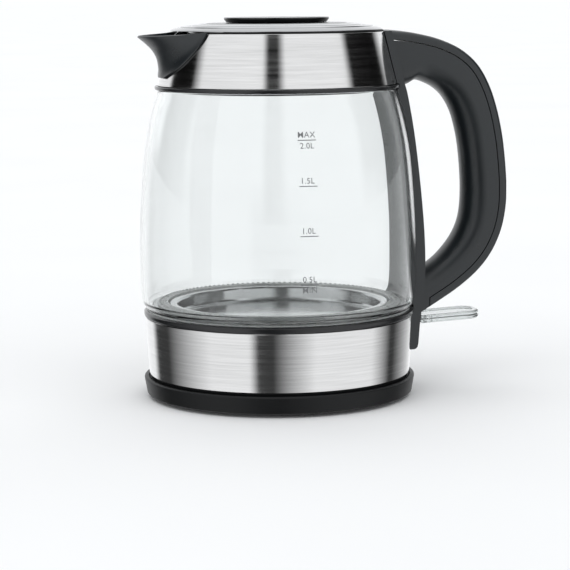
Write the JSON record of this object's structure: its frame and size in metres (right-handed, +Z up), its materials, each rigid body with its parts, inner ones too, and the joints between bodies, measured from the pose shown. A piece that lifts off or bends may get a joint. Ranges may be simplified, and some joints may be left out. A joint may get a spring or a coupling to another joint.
{
  "type": "electric kettle",
  "caption": "Cordless electric kettle: glass vessel with brushed steel bands, black loop handle, spout, push-in lid and clear switch lever, on a round power base.",
  "frame": {"origin": "under the middle of the whole object, on the surface that the power base stands on", "axes": "+Z up along the axis of the round body, +X towards the handle, -X towards the spout"},
  "size_m": [0.2256, 0.165, 0.2244],
  "materials": {
    "brushed_steel": "horizontal brushed",
    "polished_steel": "polished",
    "clear_glass": "clear gloss",
    "clear_acrylic": "clear gloss",
    "silicone": "translucent satin",
    "slate_plastic": "satin",
    "gloss_black_plastic": "gloss",
    "black_plastic": "satin",
    "grey_plastic": "satin",
    "rubber": "matte",
    "brass": "satin",
    "aluminium": "satin"
  },
  "bodies": {
    "power_base": {"base_bottom_cover": "black_plastic", "base_connector_post": "black_plastic", "base_contact_earth": "brass", "base_contact_live": "brass", "base_contact_neutral": "brass", "base_foot_1": "rubber", "base_foot_2": "rubber", "base_foot_3": "rubber", "base_screw_1": "aluminium", "base_screw_2": "aluminium", "base_screw_3": "aluminium", "base_top_plate": "black_plastic", "cord_outlet_bush": "rubber"},
    "swivel_ring": {"base_centring_ring": "grey_plastic"},
    "lid": {"knob_screw": "aluminium", "lid_bottom_plate": "brushed_steel", "lid_gasket": "silicone", "lid_knob": "gloss_black_plastic", "lid_plug": "black_plastic", "lid_top_cap": "gloss_black_plastic", "lid_trim_ring": "polished_steel"},
    "lever": {"switch_lever": "clear_acrylic"},
    "rocker": {"trip_rocker": "grey_plastic"},
    "kettle": {"bimetal_disc": "brass", "bottom_skirt": "black_plastic", "connector_housing": "black_plastic", "control_screw_1": "aluminium", "control_screw_2": "aluminium", "control_unit": "black_plastic", "diffuser_plate": "aluminium", "element_terminal_1": "brass", "element_terminal_2": "brass", "filter_frame": "black_plastic", "filter_mesh": "brushed_steel", "glass_body": "clear_glass", "handle_cover": "slate_plastic", "handle_screw_tail": "aluminium", "handle_screw_top": "aluminium", "handle_shell": "slate_plastic", "heating_element": "brushed_steel", "heating_plate": "brushed_steel", "kettle_inner_sleeve": "brass", "kettle_outer_sleeve": "brass", "kettle_pin": "brass", "lever_bracket": "black_plastic", "lever_pin": "aluminium", "lower_glass_ring": "gloss_black_plastic", "neck_liner": "black_plastic", "plate_gasket": "silicone", "rocker_pin": "aluminium", "shoulder_ring": "polished_steel", "skirt_screw_1": "aluminium", "skirt_screw_2": "aluminium", "skirt_screw_3": "aluminium", "spout": "slate_plastic", "steam_tube": "silicone", "steel_band": "brushed_steel", "steel_collar": "brushed_steel", "upper_glass_ring": "gloss_black_plastic"}
  },
  "joints": [
    {"name": "kettle_swivel", "type": "hinge", "parent": "power_base", "child": "swivel_ring", "pos_m": [-0.02925, 0, 0.0133], "axis": [0, 0, 1], "continuous": true},
    {"name": "kettle_lift", "type": "slide", "parent": "swivel_ring", "child": "kettle", "axis": [0, 0, 1], "range_m": [0, 0.12]},
    {"name": "lid_lift", "type": "slide", "parent": "kettle", "child": "lid", "axis": [0, 0, 1], "range_m": [0, 0.08]},
    {"name": "switch_tip", "type": "hinge", "parent": "kettle", "child": "lever", "pos_m": [0.03975, 0, 0.0409], "axis": [0, 1, 0], "range_deg": [0, 10]},
    {"name": "rocker_tip", "type": "hinge", "parent": "kettle", "child": "rocker", "pos_m": [0.01875, 0, 0.0315], "axis": [0, 1, 0], "range_deg": [-5.5, 0]}
  ],
  "couplings": [
    {"joint": "rocker_tip", "follows": "switch_tip", "ratio": -0.5}
  ]
}
